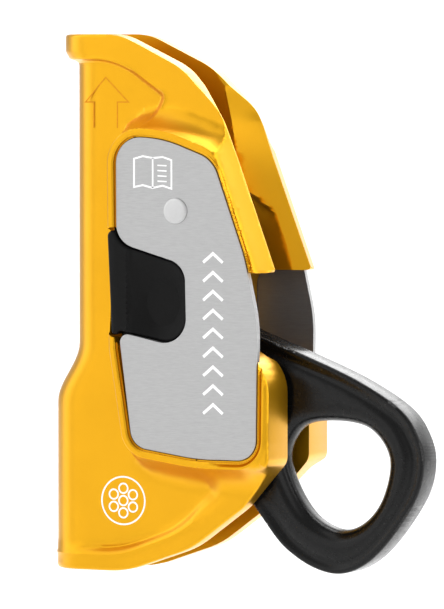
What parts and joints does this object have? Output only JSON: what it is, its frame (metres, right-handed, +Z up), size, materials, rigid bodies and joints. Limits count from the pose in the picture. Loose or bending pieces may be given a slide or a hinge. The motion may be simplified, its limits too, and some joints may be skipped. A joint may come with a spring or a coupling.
{
  "type": "rope ascender",
  "caption": "Openable cam-loaded rope clamp with a channel body, thumb buttons that free the cam, and a cam lever with an eye for a connector.",
  "frame": {"origin": "on the rope's axis in the channel, level with the cam axle at rest", "axes": "+Z up the rope, +X from the rope towards the cam lever, +Y across to the rear plate"},
  "size_m": [0.1086, 0.04, 0.1442],
  "materials": {
    "gold_aluminium": "satin gold anodised",
    "brushed_plate": "brushed along X",
    "pin_steel": "smooth",
    "black_aluminium": "satin black anodised forging",
    "black_plastic": "fine satin",
    "pale_plastic": "smooth"
  },
  "bodies": {
    "clamp_body": {"channel_body": "gold_aluminium", "front_side_plate": "brushed_plate", "rear_side_plate": "brushed_plate", "front_pivot_rivet": "pin_steel", "rear_pivot_rivet": "pin_steel", "front_pivot_washer": "pale_plastic", "rear_pivot_washer": "pale_plastic", "front_button_spring": "pin_steel", "rear_button_spring": "pin_steel"},
    "cam_carrier": {"front_link": "brushed_plate", "rear_link": "brushed_plate", "cam_axle": "pin_steel", "front_cam_washer": "pale_plastic", "rear_cam_washer": "pale_plastic", "front_cam_spring": "pin_steel", "rear_cam_spring": "pin_steel"},
    "cam_lever": {"cam_arm": "black_aluminium", "front_cam_bush": "pale_plastic", "rear_cam_bush": "pale_plastic"},
    "front_thumb_button": {"front_button": "black_plastic", "front_latch_pin": "pin_steel"},
    "rear_thumb_button": {"rear_button": "black_plastic", "rear_latch_pin": "pin_steel"}
  },
  "joints": [
    {"name": "carrier_swing", "type": "hinge", "parent": "clamp_body", "child": "cam_carrier", "pos_m": [0.0268, 0, 0.0366], "axis": [0, -1, 0], "range_deg": [0, 55]},
    {"name": "arm_swing", "type": "hinge", "parent": "cam_carrier", "child": "cam_lever", "pos_m": [0.029, 0, 0], "axis": [0, 1, 0], "range_deg": [-48, 0], "stiffness_Nm_per_rad": 0.08, "springref_deg": 28.65},
    {"name": "front_button_press", "type": "slide", "parent": "clamp_body", "child": "front_thumb_button", "axis": [0, 1, 0], "range_m": [0, 0.0028], "stiffness_N_per_m": 800, "springref_m": -0.001},
    {"name": "rear_button_press", "type": "slide", "parent": "clamp_body", "child": "rear_thumb_button", "axis": [0, -1, 0], "range_m": [0, 0.0028], "stiffness_N_per_m": 800, "springref_m": -0.001}
  ]
}
